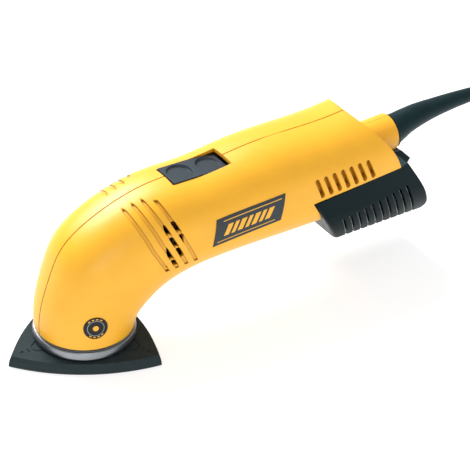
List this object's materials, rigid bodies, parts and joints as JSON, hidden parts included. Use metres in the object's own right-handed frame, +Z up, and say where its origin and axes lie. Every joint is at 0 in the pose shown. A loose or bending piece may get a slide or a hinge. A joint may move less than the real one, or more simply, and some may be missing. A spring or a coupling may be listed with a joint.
{
  "type": "detail mouse sander",
  "caption": "Corded delta sander with an arched handle, triangular orbiting pad, top rocker switch, slotted rear dust box and tapered cord guard.",
  "frame": {"origin": "on the spindle axis, in the plane of the pad's sole", "axes": "+X from the head to the rear of the handle, +Y to the right half of the housing, +Z up, away from the work"},
  "size_m": [0.5981, 0.1134, 0.1089],
  "materials": {
    "yellow_plastic": "satin moulded plastic, fine grain",
    "screw_steel": "zinc plated",
    "label": "printed foil",
    "collar_grey": "satin",
    "cast_alloy": "as cast",
    "black_rubber": "matt",
    "bearing_steel": "ground",
    "lamination_steel": "stacked laminations",
    "copper": "enamelled winding wire",
    "black_plastic": "moulded",
    "wire": "insulated wire",
    "capacitor_yellow": "moulded case",
    "shaft_steel": "ground",
    "gear_steel": "machined",
    "pad_rubber": "dense rubber",
    "hook_fabric": "hook side of hook and loop",
    "fan_plastic": "moulded",
    "slate_plastic": "fine grain",
    "dust_box_plastic": "satin black",
    "filter_paper": "pleated paper",
    "cord_rubber": "matt rubber sheath",
    "tie": "strap",
    "plug_plastic": "moulded",
    "brass": "bright",
    "carbon": "pressed carbon"
  },
  "bodies": {
    "housing": {"left_housing": "yellow_plastic", "right_housing": "yellow_plastic", "housing_screws": "screw_steel", "side_label": "label", "rating_label": "label", "round_badge": "black_plastic", "collar_ring": "collar_grey", "gear_bracket": "cast_alloy", "pad_posts": "black_rubber", "lower_spindle_bearing": "bearing_steel", "upper_spindle_bearing": "bearing_steel", "front_motor_bearing": "bearing_steel", "rear_motor_bearing": "bearing_steel", "field_core": "lamination_steel", "field_coils": "copper", "fan_baffle": "black_plastic", "switch_body": "black_plastic", "lead_wires": "wire", "capacitor": "capacitor_yellow", "inner_lead": "black_rubber", "strain_relief": "black_rubber", "mains_cord": "cord_rubber", "plug_lead": "cord_rubber", "cord_coil": "cord_rubber", "coil_tie": "tie", "plug_body": "plug_plastic", "plug_pins": "brass", "clamp_screws": "screw_steel", "cord_clamp_bar": "black_plastic", "cord_clamp_saddle": "black_plastic", "brush_holders": "brass", "carbon_brushes": "carbon", "brush_springs": "shaft_steel"},
    "armature": {"armature_shaft": "shaft_steel", "armature_core": "lamination_steel", "armature_windings": "copper", "commutator": "copper", "cooling_fan": "fan_plastic", "pinion_gear": "gear_steel"},
    "spindle": {"spindle_shaft": "shaft_steel", "spindle_gear": "gear_steel", "counterweight": "gear_steel"},
    "pad": {"pad_carrier": "cast_alloy", "eccentric_bearing": "bearing_steel", "sanding_pad": "pad_rubber", "hook_face": "hook_fabric", "pad_screws": "screw_steel"},
    "rocker": {"rocker_switch": "slate_plastic"},
    "dust_box": {"dust_box": "dust_box_plastic", "filter_pleats": "filter_paper", "filter_frame": "black_plastic"},
    "latch": {"box_latch": "dust_box_plastic"}
  },
  "joints": [
    {"name": "armature_spin", "type": "hinge", "parent": "housing", "child": "armature", "pos_m": [0.083, 0, 0.068], "axis": [1, 0, 0], "continuous": true},
    {"name": "spindle_spin", "type": "hinge", "parent": "housing", "child": "spindle", "pos_m": [0, 0, 0.03], "axis": [0, 0, 1], "continuous": true},
    {"name": "pad_orbit", "type": "hinge", "parent": "spindle", "child": "pad", "pos_m": [0.0008, 0, 0.0135], "axis": [0, 0, 1], "continuous": true},
    {"name": "rocker_tilt", "type": "hinge", "parent": "housing", "child": "rocker", "pos_m": [0.077, 0, 0.0968], "axis": [0, 1, 0], "range_deg": [-6, 0]},
    {"name": "dust_box_slide", "type": "slide", "parent": "housing", "child": "dust_box", "axis": [0.9982, 0, 0.0593], "range_m": [0, 0.085]},
    {"name": "latch_press", "type": "hinge", "parent": "dust_box", "child": "latch", "pos_m": [0.2326, 0, 0.0636], "axis": [0, 1, 0], "range_deg": [0, 10], "stiffness_Nm_per_rad": 0.3}
  ],
  "couplings": [
    {"joint": "spindle_spin", "follows": "armature_spin", "ratio": 1},
    {"joint": "pad_orbit", "follows": "armature_spin", "ratio": -1}
  ]
}
